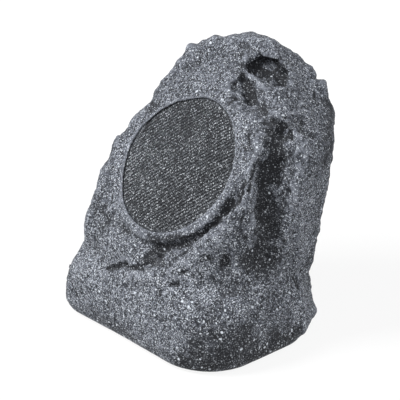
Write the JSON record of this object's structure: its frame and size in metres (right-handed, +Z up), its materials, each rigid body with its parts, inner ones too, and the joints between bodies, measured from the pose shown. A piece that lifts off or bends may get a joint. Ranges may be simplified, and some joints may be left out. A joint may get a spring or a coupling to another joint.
{
  "type": "rock shaped garden speaker",
  "caption": "Outdoor speaker moulded as a granite boulder, with a round perforated grille in a collar on its sloping front and a coaxial driver behind it",
  "frame": {"origin": "on the ground, under the middle of the part's bounding box", "axes": "+Z up, the grille faces -Y, +X to the right as seen from the front"},
  "size_m": [0.2636, 0.2114, 0.304],
  "materials": {
    "stone": "moulded granite look, flecked with white and black",
    "grille_paint": "granite-look paint",
    "black_cloth": "matt",
    "basket_steel": "black powder coat",
    "foam": "closed-cell foam",
    "rubber": "matt",
    "cone": "satin polypropylene",
    "spider_cloth": "resin-stiffened cloth",
    "former": "satin",
    "copper": "enamelled wire",
    "zinc": "zinc plated",
    "ferrite": "matt",
    "fibre": "matt",
    "tin": "tinned",
    "black_plastic": "matt",
    "nickel": "nickel plated",
    "silk": "coated silk",
    "black_steel": "black oxide",
    "circuit_board": "solder mask",
    "ceramic": "matt",
    "film": "wrapped film"
  },
  "bodies": {
    "enclosure": {"rock_shell": "stone", "grille": "grille_paint", "grille_cloth": "black_cloth", "woofer_basket": "basket_steel", "woofer_gasket": "foam", "woofer_surround": "rubber", "spider": "spider_cloth", "top_plate": "zinc", "magnet": "ferrite", "back_plate": "zinc", "terminal_board": "fibre", "terminal_tags": "tin", "tweeter_bridge": "black_plastic", "tweeter_housing": "black_plastic", "tweeter_magnet": "nickel", "tweeter_dome": "silk", "tweeter_faceplate": "black_plastic", "driver_screws": "black_steel", "base_plate": "black_plastic", "base_gasket": "foam", "base_screws": "black_steel", "crossover_board": "circuit_board", "board_screws": "zinc", "crossover_inductor": "copper", "crossover_resistor": "ceramic", "crossover_capacitor_1": "film", "crossover_capacitor_2": "film", "gland_body": "black_plastic", "gland_seal": "rubber", "gland_cap": "black_plastic", "gland_locknut": "black_plastic", "foot_front_left": "rubber", "foot_front_right": "rubber", "foot_rear_left": "rubber", "foot_rear_right": "rubber"},
    "cone": {"woofer_cone": "cone", "dust_cap": "cone", "voice_coil_former": "former", "voice_coil": "copper"}
  },
  "joints": [
    {"name": "cone_travel", "type": "slide", "parent": "enclosure", "child": "cone", "axis": [0, -0.829, 0.5592], "range_m": [-0.004, 0.004], "stiffness_N_per_m": 1200, "deforming": ["woofer_surround", "spider"]}
  ]
}
